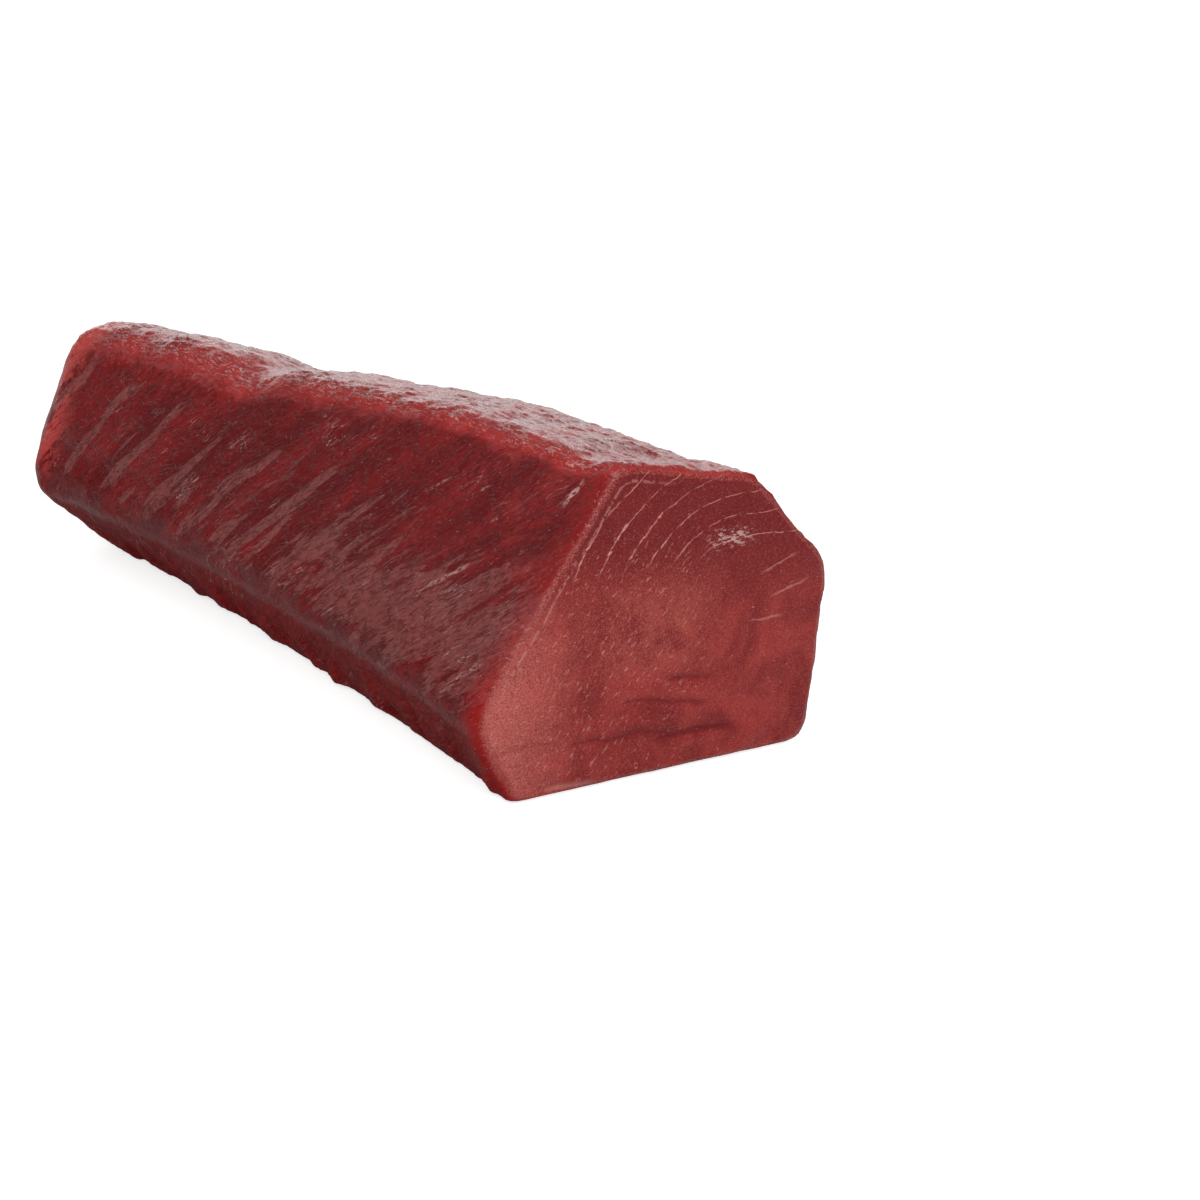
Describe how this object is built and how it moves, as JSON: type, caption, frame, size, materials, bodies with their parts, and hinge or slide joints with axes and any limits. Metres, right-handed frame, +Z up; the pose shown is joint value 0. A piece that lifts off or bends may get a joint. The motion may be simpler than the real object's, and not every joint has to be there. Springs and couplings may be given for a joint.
{
  "type": "tuna fillet",
  "caption": "Thick trimmed loin of raw tuna with flat cut ends, slanting muscle bands on its inner side and a flat underside to rest on.",
  "frame": {"origin": "centre of the loin's bounding box, on the surface that it rests on", "axes": "+X along the loin from the tail end to the thick head end, -Y to the backbone side, +Y to the skin side, +Z up"},
  "size_m": [0.2902, 0.1104, 0.1051],
  "materials": {
    "flesh": "wet"
  },
  "bodies": {
    "root": {"tuna_loin": "flesh"}
  },
  "joints": []
}
